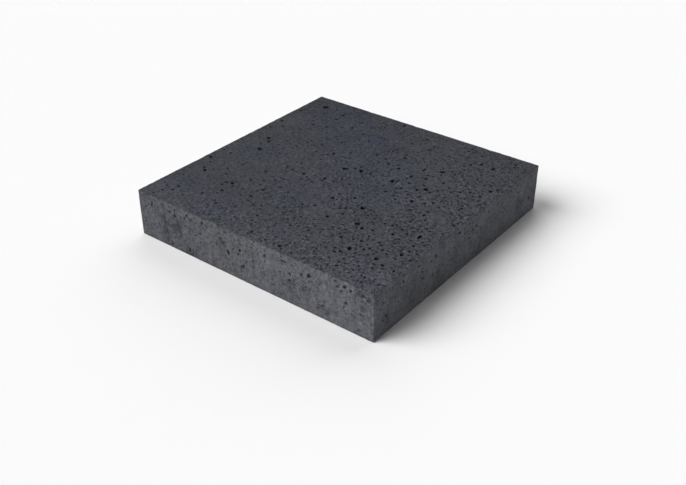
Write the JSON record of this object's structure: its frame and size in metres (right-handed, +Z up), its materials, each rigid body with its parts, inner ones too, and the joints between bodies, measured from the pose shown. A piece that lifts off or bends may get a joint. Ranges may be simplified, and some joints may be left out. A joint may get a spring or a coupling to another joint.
{
  "type": "concrete paving slab",
  "caption": "Square anthracite concrete paving slab, cast in one piece, with eased edges, plain sides and small open air pores in its wearing face; laid on a bed as garden or path paving.",
  "frame": {"origin": "middle of the bed face, the flat underside that the slab lies on", "axes": "+Z up through the thickness towards the wearing face, X and Y along the square's edges"},
  "size_m": [0.4, 0.4, 0.07],
  "materials": {
    "concrete": "matte"
  },
  "bodies": {
    "root": {"paving_slab": "concrete"}
  },
  "joints": []
}
